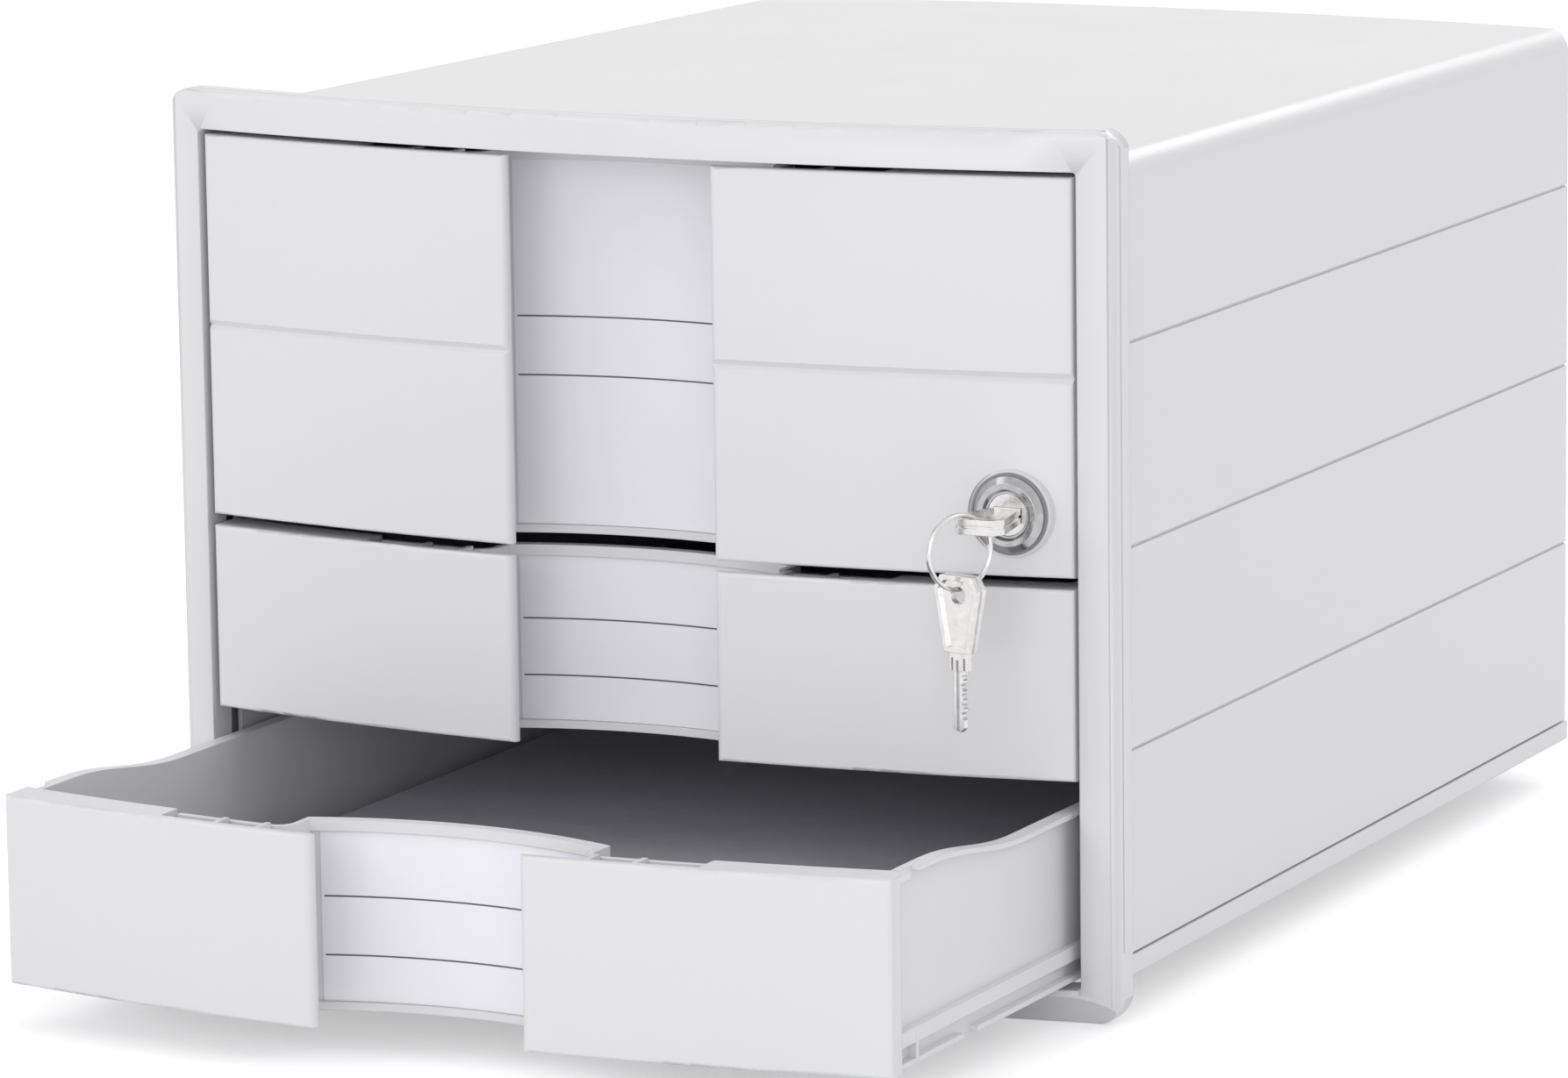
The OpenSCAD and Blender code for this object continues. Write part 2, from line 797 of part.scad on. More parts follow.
module label_layer(slot, h, front, t) {
    z0 = slot + recess_low + sill_h + run_gap / 3;
    z1 = slot + h - recess_top_cut - lip_t - run_gap / 3;
    translate([0, 0, z0]) linear_extrude(z1 - z0) intersection() {
        difference() {
            translate([0, recess_cy]) circle(recess_r - front, $fn = bow_fn);
            translate([0, recess_cy]) circle(recess_r - front - t, $fn = bow_fn);
        }
        translate([-label_w / 2, 0]) square([label_w, big]);
    }
}

module label_card(slot, h) color("white") label_layer(slot, h, seat_gap, card_t);

module label_window(slot, h) color("lavender", 0.5)
    label_layer(slot, h, 2 * seat_gap + card_t, window_t);

// ---------- the three drawers ----------

module lock_cylinder(d, y0, y1) {
    translate([lock_x, y0, lock_z]) rotate([-90, 0, 0]) cylinder(d = d, h = y1 - y0, $fn = 64);
}

module double_tray() color(plastic) difference() {
    union() {
        tray(slot2, double_h);
        // round boss that gives the lock nut a flat seat
        intersection() {
            lock_cylinder(seat_d, bow_y(wall_front_r, lock_x) - 2, boss_back_y);
            linear_extrude(frame_h) bow_disc(wall_front_r - eps);
            translate([0, -ahead, 0]) cube([tray_hw, big, frame_h]);
        }
    }
    lock_cylinder(barrel_d + 2 * seat_gap, -ahead, ahead);
    // window for the cam in the right wall
    translate([tray_hw - tray_t - 1, cam_y - 0.4, lock_z - cam_w / 2 - cam_turn_gap])
        cube([tray_t + 4, cam_t + 0.8, cam_r - 1.5 + cam_w / 2]);
}

module double_panel_left() color(plastic) difference() {
    panel_left(slot2, double_h);
    panel_groove();
}

module double_panel_right() color(plastic) difference() {
    union() {
        panel_right(slot2, double_h);
        // flat seat for the lock on the bowed panel
        intersection() {
            lock_cylinder(seat_d, lock_seat_y, bow_y(wall_front_r, lock_x));
            linear_extrude(frame_h) difference() {
                translate([-big / 2, -ahead]) square([big, big]);
                bow_disc(face_r - skin_t - 1);
            }
            translate([0, -ahead, 0]) cube([panel_hw, big, frame_h]);
        }
    }
    panel_groove();
    lock_cylinder(seat_d, -ahead, lock_seat_y);
    lock_cylinder(barrel_d + 2 * seat_gap, -ahead, ahead);
}

module double_label_card() label_card(slot2, double_h);
module double_label_window() label_window(slot2, double_h);

module middle_tray() color(plastic) tray(slot1, single_h);
module middle_panel_left() color(plastic) panel_left(slot1, single_h);
module middle_panel_right() color(plastic) panel_right(slot1, single_h);
module middle_label_card() label_card(slot1, single_h);
module middle_label_window() label_window(slot1, single_h);

module pulled_out() translate([0, -open_by, 0]) children();

module bottom_tray() pulled_out() color(plastic) tray(slot0, single_h);
module bottom_panel_left() pulled_out() color(plastic) panel_left(slot0, single_h);
module bottom_panel_right() pulled_out() color(plastic) panel_right(slot0, single_h);
module bottom_label_card() pulled_out() label_card(slot0, single_h);
module bottom_label_window() pulled_out() label_window(slot0, single_h);

module paper_stack() pulled_out() color("gray")
    translate([-paper_w / 2, paper_y, slot0 + tray_up + tray_t + seat_gap])
        cube([paper_w, paper_l, paper_h]);

// ---------- lock ----------

module at_lock() {
    translate([lock_x, 0, lock_z]) rotate([-90, 0, 0]) children();
}

module lock_collar() color("gray") at_lock() translate([0, 0, lock_seat_y - collar_t]) difference() {
    cylinder(d = collar_d, h = collar_t - eps, $fn = 64);
    translate([0, 0, -1]) cylinder(d = barrel_d + 2 * seat_gap, h = 3, $fn = 64);
}

module lock_body() color(steel) at_lock() difference() {
    union() {
        translate([0, 0, flange_y]) cylinder(d1 = flange_d2, d2 = flange_d, h = flange_h - flange_rim, $fn = 64);
        translate([0, 0, flange_y + flange_h - flange_rim])
            cylinder(d = flange_d, h = flange_rim - eps, $fn = 64);
        translate([0, 0, flange_y]) cylinder(d = barrel_d, h = cam_y - 2 * plug_end - flange_y, $fn = 64);
    }
    translate([0, 0, flange_y - 1]) cylinder(d = plug_d + 2 * plug_gap, h = 40, $fn = 64);
    translate([0, 0, flange_y - eps]) cylinder(d1 = plug_d + 2.6, d2 = plug_d + 1.2, h = 0.7, $fn = 64);
}

module lock_nut() color(steel) at_lock() translate([0, 0, boss_back_y + seat_gap / 2]) difference() {
    intersection() {
        cylinder(d = nut_flats / cos(30), h = nut_t, $fn = 6);
        cylinder(d = nut_flats + 2, h = nut_t, $fn = 64);
    }
    translate([0, 0, -1]) cylinder(d = barrel_d + 2 * seat_gap, h = nut_t + 2, $fn = 64);
}

module lock_plug() color(steel) at_lock() difference() {
    union() {
        translate([0, 0, plug_y]) cylinder(d = plug_d, h = cam_y - plug_end - plug_y, $fn = 64);
        translate([-square / 2, -square / 2, cam_y - 2 * plug_end]) cube([square, square, cam_t + 2 * plug_end]);
    }
    translate([-keyway_w / 2, -keyway_h / 2, plug_y - 1]) cube([keyway_w, keyway_h, 13]);
    translate([0, 0, cam_y + cam_t - screw_in - 2]) cylinder(d = screw_d, h = 20);
}

module lock_cam() color(steel) at_lock() translate([0, 0, cam_y]) difference() {
    union() {
        cylinder(d = cam_hub_d, h = cam_t);
        intersection() {
            translate([-cam_w / 2, -cam_r, 0]) cube([cam_w, cam_r, cam_t]);
            cylinder(r = cam_r, h = cam_t);
        }
    }
    translate([-square / 2 - seat_gap, -square / 2 - seat_gap, -1])
        cube([square + 2 * seat_gap, square + 2 * seat_gap, 4]);
}

module cam_screw() color(steel) at_lock() translate([0, 0, cam_y + cam_t + 0.05]) {
    difference() {
        cylinder(d = screw_head_d, h = screw_head_h);
        translate([-screw_head_d, -0.5, screw_head_h - 0.6]) cube([2 * screw_head_d, 1, screw_head_h]);
    }
    translate([0, 0, -screw_in]) cylinder(d = screw_d - 0.1, h = screw_in + 0.1);
}

// ---------- keys: bow along -y from its shoulder at the origin, flat in the xy plane ----------

// Elongated six-sided bow, narrow at the shoulder and cut off at the corners of its tip
module bow_outline(inset) {
    n = bow_neck_w / 2 - inset;
    w = bow_tip_w / 2 - inset;
    t = w - bow_cut;
    polygon([[-n, eps], [n, eps], [w, -bow_l + bow_cut_l], [t, -bow_l + inset],
        [-t, -bow_l + inset], [-w, -bow_l + bow_cut_l]]);
}

module key_bow() {
    difference() {
        translate([0, 0, -bow_rim_t / 2]) linear_extrude(bow_rim_t) bow_outline(0);
        // both faces are sunk inside a raised border
        for (s = [0, 1]) mirror([0, 0, s]) translate([0, 0, bow_web_t / 2])
            linear_extrude(bow_rim_t) intersection() {
                bow_outline(bow_rim_w);
                translate([-bow_tip_w, -bow_l]) square([2 * bow_tip_w, bow_l - bow_rim_w]);
            }
        // groove round the edge, between its two ridges
        translate([0, 0, -bow_groove_w / 2]) linear_extrude(bow_groove_w) difference() {
            bow_outline(-2);
            bow_outline(bow_groove_d);
        }
        translate([0, -bow_l + hole_back, -5]) cylinder(d = key_hole_d, h = 10);
    }
}

module key() color(steel) translate([lock_x, key_tip_y + bow_l, lock_z]) {
    key_bow();
    // blade inside the plug
    translate([0, 0, -blade_t / 2]) linear_extrude(blade_t) intersection() {
        translate([-blade_w / 2, -0.5]) square([blade_w, key_in + 0.5]);
        polygon([[-4, -1], [4, -1], [4, key_in - 2.4], [2, key_in], [-2, key_in], [-4, key_in - 2.4]]);
    }
}

module key_ring() color(steel) translate(ring_c) rotate([90, 0, ring_turn]) {
    rotate_extrude($fn = 96) translate([ring_mean_r, 0]) {
        for (s = [-1, 1]) translate([0, s * (wire_rows - wire_d) / 2]) circle(d = wire_d, $fn = 24);
        translate([-wire_d / 2, -(wire_rows - wire_d) / 2]) square([wire_d, wire_rows - wire_d]);
    }
}

// Hangs from the ring's lowest point, which passes through its hole
module spare_key() color(steel)
    translate([ring_c[0], ring_c[1], ring_c[2] - ring_mean_r - hang])
        rotate([0, 0, spare_turn - 90]) rotate([-90, 0, 0])
            translate([0, -hole_back + bow_l, 0]) mirror([0, 0, 1]) {
                key_bow();
                difference() {
                    union() {
                        translate([-spare_shoulder_w / 2, -0.5, -spare_t / 2])
                            cube([spare_shoulder_w, spare_shoulder_l + 0.5, spare_t]);
                        translate([-spare_blade_w / 2, 0, -spare_t / 2 + 0.2])
                            cube([spare_blade_w, spare_l - bow_l - 1.2, spare_t - 0.4]);
                        translate([0, spare_l - bow_l - 1.2 - eps, -spare_t / 2 + 0.2])
                            linear_extrude(spare_t - 0.4) polygon([[-spare_blade_w / 2, 0],
                                [spare_blade_w / 2, 0], [0.5, 1.2], [-0.5, 1.2]]);
                    }
                    // slots beside the blade at the shoulder
                    both_sides() translate([spare_blade_w / 2 - 0.1, spare_shoulder_l * 0.3, -5])
                        cube([0.6, spare_shoulder_l, 10]);
                    // bitting on one edge, and the groove along the blade
                    for (i = [0:4]) translate([spare_blade_w / 2 + 0.25, spare_shoulder_l + 1.6 + 2.5 * i, -2])
                        cylinder(r = 0.8 + 0.3 * ((i * 2) % 3) / 2, h = 4, $fn = 16);
                    translate([-0.7, 2.2, 0.1]) cube([0.8, spare_l, 2]);
                }
            }

housing_cover();
base_pan();
rear_panel();
front_frame();
guide_left();
guide_right();
rubber_feet();
double_tray();
double_panel_left();
double_panel_right();
double_label_card();
double_label_window();
lock_collar();
lock_body();
lock_nut();
lock_plug();
lock_cam();
cam_screw();
key();
key_ring();
spare_key();
middle_tray();
middle_panel_left();
middle_panel_right();
middle_label_card();
middle_label_window();
bottom_tray();
bottom_panel_left();
bottom_panel_right();
bottom_label_card();
bottom_label_window();
paper_stack();
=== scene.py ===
import json
import math
import random

import bmesh
import bpy
from mathutils import Matrix, Vector

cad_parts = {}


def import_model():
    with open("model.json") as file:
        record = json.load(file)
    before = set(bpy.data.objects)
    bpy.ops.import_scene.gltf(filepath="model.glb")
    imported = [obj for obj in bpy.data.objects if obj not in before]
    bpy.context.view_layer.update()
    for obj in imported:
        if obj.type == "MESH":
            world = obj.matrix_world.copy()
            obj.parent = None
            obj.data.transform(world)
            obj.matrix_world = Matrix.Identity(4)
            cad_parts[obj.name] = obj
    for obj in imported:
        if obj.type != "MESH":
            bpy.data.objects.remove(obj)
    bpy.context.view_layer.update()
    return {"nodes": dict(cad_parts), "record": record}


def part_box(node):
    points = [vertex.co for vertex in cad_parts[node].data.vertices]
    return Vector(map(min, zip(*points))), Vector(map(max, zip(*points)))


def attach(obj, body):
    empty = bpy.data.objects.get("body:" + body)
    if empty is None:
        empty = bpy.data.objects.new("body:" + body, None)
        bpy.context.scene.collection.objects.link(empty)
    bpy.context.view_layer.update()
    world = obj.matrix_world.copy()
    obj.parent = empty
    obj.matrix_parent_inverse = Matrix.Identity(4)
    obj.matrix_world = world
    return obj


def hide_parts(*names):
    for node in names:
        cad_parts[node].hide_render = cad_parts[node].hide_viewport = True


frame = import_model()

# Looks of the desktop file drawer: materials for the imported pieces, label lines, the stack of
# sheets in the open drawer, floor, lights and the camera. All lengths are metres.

MM = 0.001

# Photograph's frame and the camera that it was taken with
IMAGE_W = 1787
FOCAL_PX = 8683.14
SENSOR_W = 36.0
CAMERA_AT = (0.92956, -1.76263, 0.47872)
CAMERA_YAW = math.radians(26.660)
CAMERA_PITCH = math.radians(-10.203)
CAMERA_ROLL = math.radians(-0.780)

# Sizes repeated from the part
PITCH = 53.7 * MM
SLOT_LOW = 10.2 * MM
RECESS_R = 120 * MM
RECESS_Y = 17 * MM
CARD_FACE = 0.5 * MM
OPEN_BY = 110 * MM
LABEL_HALF = 39.5 * MM
BOW_R = 680 * MM
FRAME_HALF = 140 * MM
# Each drawer, lowest first, and how far it is shifted at rest
DRAWERS = (("bottom_drawer", -OPEN_BY), ("middle_drawer", 0), ("double_drawer", 0))
# Printed lines above each drawer's slot
LINES_SINGLE = (15.3 * MM, 30.9 * MM)
LINES_DOUBLE = (43.6 * MM, 59.6 * MM)

# Level of the surroundings as a light, and of the floor where it is seen; 1 is white
WORLD_LIGHT = 0.62
FLOOR_GLOW = 0.4


# ---------- materials ----------

class Nodes:
    """A node material with its shader, coordinates and a few helpers."""

    def __init__(self, name, roughness, **values):
        self.material = bpy.data.materials.new(name)
        self.material.use_nodes = True
        self.tree = self.material.node_tree
        self.shader = self.tree.nodes["Principled BSDF"]
        self.shader.inputs["Roughness"].default_value = roughness
        for key, value in values.items():
            self.shader.inputs[key.replace("_", " ")].default_value = value
        self.coords = self.add("ShaderNodeTexCoord").outputs["Object"]

    def add(self, kind, **values):
        node = self.tree.nodes.new(kind)
        for key, value in values.items():
            setattr(node, key, value)
        return node

    def link(self, a, b):
        self.tree.links.new(a, b)

    def noise(self, scale, detail=2.0, stretch=(1, 1, 1)):
        mapping = self.add("ShaderNodeMapping")
        mapping.inputs["Scale"].default_value = stretch
        self.link(self.coords, mapping.inputs["Vector"])
        node = self.add("ShaderNodeTexNoise")
        node.inputs["Scale"].default_value = scale
        node.inputs["Detail"].default_value = detail
        self.link(mapping.outputs["Vector"], node.inputs["Vector"])
        return node.outputs["Fac"]

    def spread(self, value, low, high):
        """Maps a noise value from its usual range to low..high."""
        node = self.add("ShaderNodeMapRange")
        node.inputs["From Min"].default_value = 0.3
        node.inputs["From Max"].default_value = 0.7
        node.inputs["To Min"].default_value = low
        node.inputs["To Max"].default_value = high
        self.link(value, node.inputs["Value"])
        return node.outputs["Result"]

    def mottle(self, value, color_a, color_b):
        """Base colour between two near colours."""
        node = self.add("ShaderNodeMix", data_type="RGBA")
        node.inputs["A"].default_value = (*color_a, 1)
        node.inputs["B"].default_value = (*color_b, 1)
        self.link(self.spread(value, 0.0, 1.0), node.inputs["Factor"])
        self.link(node.outputs["Result"], self.shader.inputs["Base Color"])

    def relief(self, value, distance, strength=1.0, edge=0.0):
        """Bump from a value, over edges that a small radius softens."""
        bump = self.add("ShaderNodeBump")
        bump.inputs["Distance"].default_value = distance
        bump.inputs["Strength"].default_value = strength
        self.link(value, bump.inputs["Height"])
        if edge:
            soft = self.add("ShaderNodeBevel", samples=6)
            soft.inputs["Radius"].default_value = edge
            self.link(soft.outputs["Normal"], bump.inputs["Normal"])
        self.link(bump.outputs["Normal"], self.shader.inputs["Normal"])


def plastic(name, color, shade, roughness, grain, grain_depth, edge):
    """Moulded plastic: slight tone change, fine mould grain, softened edges."""
    m = Nodes(name, roughness, Specular_IOR_Level=0.5)
    m.mottle(m.noise(9.0), color, shade)
    m.link(m.spread(m.noise(38.0, 3.0), roughness - 0.015, roughness + 0.02),
           m.shader.inputs["Roughness"])
    m.relief(m.noise(grain, 2.0), grain_depth, 0.6, edge)
    return m.material


def metal(name, color, shade, roughness, edge, brush=(1, 1, 1)):
    """Plated metal with faint polishing marks and uneven sheen."""
    m = Nodes(name, roughness, Metallic=1.0)
    m.mottle(m.noise(420.0), color, shade)
    m.link(m.spread(m.noise(700.0, 3.0, brush), max(roughness - 0.04, 0.02), roughness + 0.09),
           m.shader.inputs["Roughness"])
    m.relief(m.noise(2400.0, 2.0, brush), 0.00002, 0.5, edge)
    return m.material


def rubber():
    m = Nodes("rubber_foot", 0.75)
    m.mottle(m.noise(300.0), (0.035, 0.035, 0.036), (0.055, 0.055, 0.056))
    m.relief(m.noise(1800.0), 0.00005, 0.8)
    return m.material


def label_card():
    """Card with a faint lavender tone, under a glossy cover."""
    m = Nodes("label_card_paper", 0.5, Coat_Weight=0.35, Coat_Roughness=0.09)
    m.mottle(m.noise(60.0, 4.0), (0.92, 0.905, 0.975), (0.93, 0.915, 0.98))
    m.relief(m.noise(2500.0), 0.00001, 0.4)
    return m.material


def label_window():
    m = Nodes("clear_label_cover", 0.12, Alpha=0.04)
    m.mottle(m.noise(25.0), (0.92, 0.92, 0.96), (0.95, 0.95, 0.985))
    m.link(m.spread(m.noise(60.0), 0.08, 0.16), m.shader.inputs["Roughness"])
    m.relief(m.noise(90.0), 0.00001, 0.3)
    return m.material


def printed_line():
    m = Nodes("printed_line_ink", 0.5)
    m.mottle(m.noise(900.0), (0.02, 0.02, 0.025), (0.045, 0.045, 0.05))
    return m.material


def grey_sheets_painted_lighter():
    """Soft grey sheets with fine fibres and a mottled tone. The base colour is partly the sheets' own
    grey and partly painted light: it is lighter than that grey, to make up for the dim light deep in the
    drawer.
    """
    m = Nodes("grey_sheets_painted_lighter", 0.85, Specular_IOR_Level=0.25)
    tone = m.add("ShaderNodeMix", data_type="FLOAT")
    tone.inputs["Factor"].default_value = 0.45
    m.link(m.noise(70.0, 6.0), tone.inputs["A"])
    m.link(m.noise(900.0, 4.0, (1, 0.5, 1)), tone.inputs["B"])
    # painted light: both base colours are lighter than the sheets' own grey, to make up for the dim light
    # in the drawer
    m.mottle(tone.outputs["Result"], (0.56, 0.55, 0.61), (0.63, 0.62, 0.685))
    m.relief(m.noise(1500.0, 4.0, (1, 0.6, 1)), 0.00006, 0.7)
    return m.material


MATERIALS = {
    "casing_plastic": plastic("casing_plastic", (0.745, 0.743, 0.758), (0.76, 0.758, 0.773),
                              0.3, 1500.0, 0.00002, 0.0005),
    "drawer_plastic": plastic("drawer_plastic", (0.745, 0.742, 0.762), (0.76, 0.757, 0.777),
                              0.33, 1900.0, 0.000015, 0.0004),
    "hidden_plastic": plastic("hidden_plastic", (0.70, 0.695, 0.715), (0.73, 0.725, 0.745),
                              0.45, 1200.0, 0.00002, 0.0003),
    "rubber": rubber(),
    "label_card": label_card(),
    "label_window": label_window(),
    "lock_metal": metal("bright_plated_metal", (0.73, 0.72, 0.71), (0.63, 0.62, 0.61), 0.16, 0.0002),
    "zinc": metal("zinc_plated_steel", (0.62, 0.62, 0.60), (0.52, 0.52, 0.50), 0.34, 0.0002),
    "collar_grey": plastic("grey_collar", (0.22, 0.22, 0.235), (0.26, 0.26, 0.275),
                           0.4, 1500.0, 0.00002, 0.0002),
    "paper": grey_sheets_painted_lighter(),
}
LINE_INK = printed_line()
CHROME = metal("dark_chrome", (0.46, 0.46, 0.47), (0.38, 0.38, 0.39), 0.07, 0.0002)

slot_of = {s["node"]: s["material_slot"] for s in frame["record"]["subparts"]}


def dress_nodes():
    """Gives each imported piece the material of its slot."""
    for name, node in frame["nodes"].items():
        node.data.materials.clear()
        node.data.materials.append(CHROME if name == "lock_body" else MATERIALS[slot_of[name]])


# ---------- pieces of the scene ----------

def new_piece(name, bm, material, body):
    mesh = bpy.data.meshes.new(name)
    bm.to_mesh(mesh)
    bm.free()
    piece = bpy.data.objects.new(name, mesh)
    bpy.context.scene.collection.objects.link(piece)
    piece.data.materials.append(material)
    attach(piece, body)
    return piece


def label_line(name, body, y_shift, z):
    """A thin printed line that follows the curved label card."""
    clearance = 0.015 * MM
    face_r = RECESS_R - CARD_FACE - clearance
    depth = 0.03 * MM
    half_h = 0.22 * MM
    steps = 40
    half_a = math.asin(LABEL_HALF / RECESS_R)
    centre_y = RECESS_Y - RECESS_R + y_shift
    bm = bmesh.new()
    rings = []
    for i in range(steps + 1):
        a = -half_a + 2 * half_a * i / steps
        ring = []
        back_r = face_r - depth
        for r, up in ((face_r, -half_h), (face_r, half_h), (back_r, half_h), (back_r, -half_h)):
            ring.append(bm.verts.new((r * math.sin(a), centre_y + r * math.cos(a), z + up)))
        rings.append(ring)
    for a, b in zip(rings, rings[1:]):
        for k in range(4):
            bm.faces.new((a[k], a[(k + 1) % 4], b[(k + 1) % 4], b[k]))
    bm.faces.new(rings[0])
    bm.faces.new(rings[-1][::-1])
    bmesh.ops.recalc_face_normals(bm, faces=bm.faces)
    return new_piece(name, bm, LINE_INK, body)


def label_lines():
    for k, (body, shift) in enumerate(DRAWERS):
        slot = SLOT_LOW + k * PITCH
        ups = LINES_DOUBLE if body == "double_drawer" else LINES_SINGLE
        for n, up in enumerate(ups):
            label_line(f"{body}_label_line_{n + 1}", body, shift, slot + up)


def add_box(bm, low, high):
    """Adds a closed box to a mesh."""
    outline = ((low[0], low[1]), (high[0], low[1]), (high[0], high[1]), (low[0], high[1]))
    corners = [bm.verts.new((x, y, z)) for z in (low[2], high[2]) for x, y in outline]
    bm.faces.new(corners[3::-1])
    bm.faces.new(corners[4:])
    for k in range(4):
        after = (k + 1) % 4
        bm.faces.new((corners[k], corners[after], corners[4 + after], corners[4 + k]))


def sheet_stack():
    """The grey sheets in the open drawer: thin sheets that lie a little out of line."""
    low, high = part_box("paper_stack")
    sheets = 26
    play = 0.5 * MM
    step = (high[2] - low[2]) / sheets
    gap = 0.06 * step
    rnd = random.Random(4)
    bm = bmesh.new()
    for i in range(sheets):
        x0 = low[0] + rnd.uniform(0, play)
        x1 = high[0] - rnd.uniform(0, play)
        y0 = low[1] + rnd.uniform(0, play)
        y1 = high[1] - rnd.uniform(0, play)
        z0 = low[2] + i * step
        z1 = z0 + step - gap
        add_box(bm, (x0, y0, z0), (x1, y1, z1))
    piece = new_piece("grey_sheet_stack", bm, MATERIALS["paper"], "bottom_drawer")
    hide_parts("paper_stack")


def ledge_fronts():
    """The runner ledge and lower flange of each tray, carried on from the upright rib to the front."""
    inner, outer = 125.49 * MM, 127.8 * MM
    y0, y1 = 4.4 * MM, 14.01 * MM
    ledge = (7.6 * MM, 11.6 * MM)
    flange = (2.1 * MM, 3.6 * MM)
    for k, (body, shift) in enumerate(DRAWERS):
        slot = SLOT_LOW + k * PITCH
        bm = bmesh.new()
        for side in (-1, 1):
            x0, x1 = sorted((side * inner, side * outer))
            for z0, z1 in (ledge, flange):
                add_box(bm, (x0, y0 + shift, slot + z0), (x1, y1 + shift, slot + z1))
        new_piece(f"{body}_ledge_fronts", bm, MATERIALS["drawer_plastic"], body)


def cove_cutter(side):
    """The plinth's cove, carried on to the frame's outer edge, where it dips."""
    centre_y = math.sqrt(BOW_R ** 2 - FRAME_HALF ** 2)
    # round section, seen from the side: its radius and its centre before the bow and below the desk
    cove_r, cove_ahead, cove_z = 16 * MM, 7.4 * MM, -5.9 * MM
    start_x, length = 109, 34
    dip_from, dip_depth = 126 * MM, 3.4 * MM
    steps, around = 18, 64
    bm = bmesh.new()
    rings = []
    for i in range(steps + 1):
        x = (start_x + length * i / steps) * MM
        a = math.asin(x / BOW_R)
        dip = -dip_depth * max(0.0, (x - dip_from) / (FRAME_HALF - dip_from)) ** 2
        ring = []
        for k in range(around):
            t = 2 * math.pi * k / around
            r = BOW_R + cove_ahead + cove_r * math.cos(t)
            ring.append(bm.verts.new((side * r * math.sin(a), centre_y - r * math.cos(a),
                                      cove_z + dip + cove_r * math.sin(t))))
        rings.append(ring)
    for a, b in zip(rings, rings[1:]):
        for k in range(around):
            bm.faces.new((a[k], a[(k + 1) % around], b[(k + 1) % around], b[k]))
    bm.faces.new(rings[0])
    bm.faces.new(rings[-1])
    bmesh.ops.recalc_face_normals(bm, faces=bm.faces)
    mesh = bpy.data.meshes.new("cove_cutter")
    bm.to_mesh(mesh)
    bm.free()
    cutter = bpy.data.objects.new("cove_cutter", mesh)
    bpy.context.scene.collection.objects.link(cutter)
    return cutter


def frame_with_cove():
    """The front frame with its plinth cove running out to both corners."""
    node = frame["nodes"]["front_frame"]
    work = bpy.data.objects.new("front_frame_work", node.data.copy())
    bpy.context.scene.collection.objects.link(work)
    work.matrix_world = node.matrix_world
    cutters = [cove_cutter(side) for side in (-1, 1)]
    for cutter in cutters:
        cut = work.modifiers.new("cove", "BOOLEAN")
        cut.operation = "DIFFERENCE"
        cut.solver = "EXACT"
        cut.object = cutter
    bpy.context.view_layer.update()
    evaluated = work.evaluated_get(bpy.context.evaluated_depsgraph_get())
    mesh = bpy.data.meshes.new_from_object(evaluated)
    mesh.transform(work.matrix_world)
    for extra in cutters + [work]:
        bpy.data.objects.remove(extra)
    piece = bpy.data.objects.new("front_frame_with_cove", mesh)
    bpy.context.scene.collection.objects.link(piece)
    mesh.materials.clear()
    mesh.materials.append(MATERIALS["casing_plastic"])
    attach(piece, "housing")
    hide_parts("front_frame")


# ---------- floor, lights, camera ----------

def floor():
    """Pale floor that keeps the object's shadow and shows white to the camera."""
    bm = bmesh.new()
    size = 6.0
    below = 0.2 * MM
    corners = ((-1, -1), (1, -1), (1, 1), (-1, 1))
    bm.faces.new([bm.verts.new((x * size, y * size, -below)) for x, y in corners])
    mesh = bpy.data.meshes.new("floor")
    bm.to_mesh(mesh)
    bm.free()
    obj = bpy.data.objects.new("floor", mesh)
    bpy.context.scene.collection.objects.link(obj)
    m = Nodes("pale_floor", 0.9, Specular_IOR_Level=0.0)
    m.mottle(m.noise(3.0), (0.86, 0.86, 0.87), (0.88, 0.88, 0.89))
    glow = m.add("ShaderNodeMath", operation="MULTIPLY")
    glow.inputs[1].default_value = FLOOR_GLOW
    m.link(seen_directly(m.tree), glow.inputs[0])
    m.shader.inputs["Emission Color"].default_value = (1, 1, 1, 1)
    m.link(glow.outputs[0], m.shader.inputs["Emission Strength"])
    obj.data.materials.append(m.material)


def seen_directly(tree):
    """1 for rays from the camera or off metal and glass, 0 for the rays that light a surface."""
    path = tree.nodes.new("ShaderNodeLightPath")
    seen = path.outputs["Is Camera Ray"]
    for kind in ("Is Glossy Ray", "Is Transmission Ray"):
        either = tree.nodes.new("ShaderNodeMath")
        either.operation = "MAXIMUM"
        tree.links.new(seen, either.inputs[0])
        tree.links.new(path.outputs[kind], either.inputs[1])
        seen = either.outputs[0]
    return seen


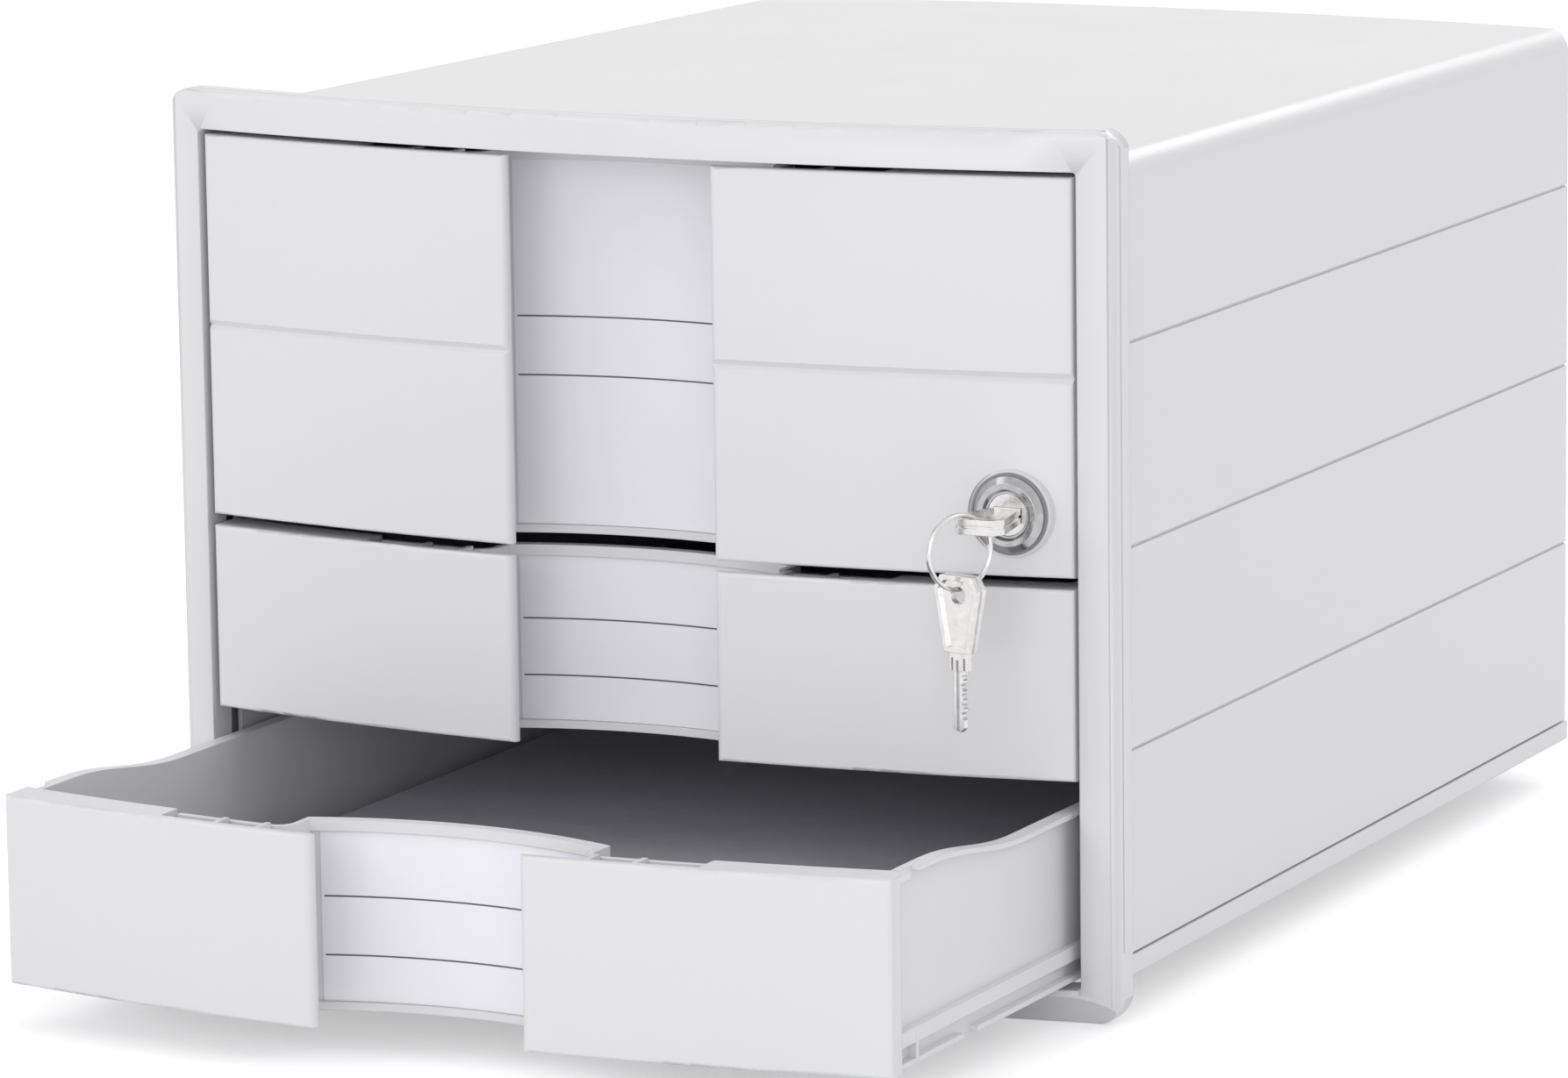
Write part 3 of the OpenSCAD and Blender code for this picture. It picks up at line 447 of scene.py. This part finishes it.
def world():
    """White surroundings wherever they are seen; as a light they are softer."""
    w = bpy.data.worlds.new("studio")
    bpy.context.scene.world = w
    w.use_nodes = True
    tree = w.node_tree
    ground = tree.nodes["Background"]
    strength = tree.nodes.new("ShaderNodeMapRange")
    strength.inputs["To Min"].default_value = WORLD_LIGHT
    strength.inputs["To Max"].default_value = 1.0
    tree.links.new(seen_directly(tree), strength.inputs["Value"])
    tree.links.new(strength.outputs["Result"], ground.inputs["Strength"])
    ground.inputs["Color"].default_value = (1, 1, 1, 1)


def area_light(name, at, aim, size, power):
    data = bpy.data.lights.new(name, "AREA")
    data.shape = "RECTANGLE"
    data.size, data.size_y = size
    data.energy = power
    light = bpy.data.objects.new(name, data)
    bpy.context.scene.collection.objects.link(light)
    light.location = at
    light.rotation_euler = (Vector(aim) - Vector(at)).to_track_quat("-Z", "Y").to_euler()


def camera():
    yaw, pitch, roll = CAMERA_YAW, CAMERA_PITCH, CAMERA_ROLL
    forward = Vector((-math.sin(yaw) * math.cos(pitch), math.cos(yaw) * math.cos(pitch), math.sin(pitch)))
    right = Vector((math.cos(yaw), math.sin(yaw), 0))
    up = right.cross(forward)
    cam_x = right * math.cos(roll) + up * math.sin(roll)
    cam_y = -right * math.sin(roll) + up * math.cos(roll)
    data = bpy.data.cameras.new("photo_camera")
    data.sensor_fit = "HORIZONTAL"
    data.sensor_width = SENSOR_W
    data.lens = FOCAL_PX / IMAGE_W * SENSOR_W
    data.clip_end = 50
    cam = bpy.data.objects.new("photo_camera", data)
    bpy.context.scene.collection.objects.link(cam)
    turn = Matrix((cam_x, cam_y, -forward)).transposed().to_4x4()
    cam.matrix_world = Matrix.Translation(CAMERA_AT) @ turn
    bpy.context.scene.camera = cam


camera()
world()
floor()
area_light("key_left", (-1.3, -1.5, 1.5), (0, 0.05, 0.1), (2.0, 2.0), 10.5)
area_light("front_fill", (0.6, -2.3, 0.5), (0, 0.0, 0.1), (2.4, 1.3), 17.5)
area_light("edge_right", (1.45, 0.25, 1.5), (0.1, 0.15, 0.15), (1.0, 1.0), 3.2)
area_light("rim_back", (0.4, 2.2, 1.6), (0.1, 0.2, 0.2), (1.4, 1.0), 13)
area_light("top_soft", (0.1, 0.3, 1.7), (0, 0.15, 0.2), (1.6, 1.6), 1.5)
dress_nodes()
label_lines()
sheet_stack()
ledge_fronts()
frame_with_cove()

bpy.context.scene.view_settings.view_transform = "Standard"
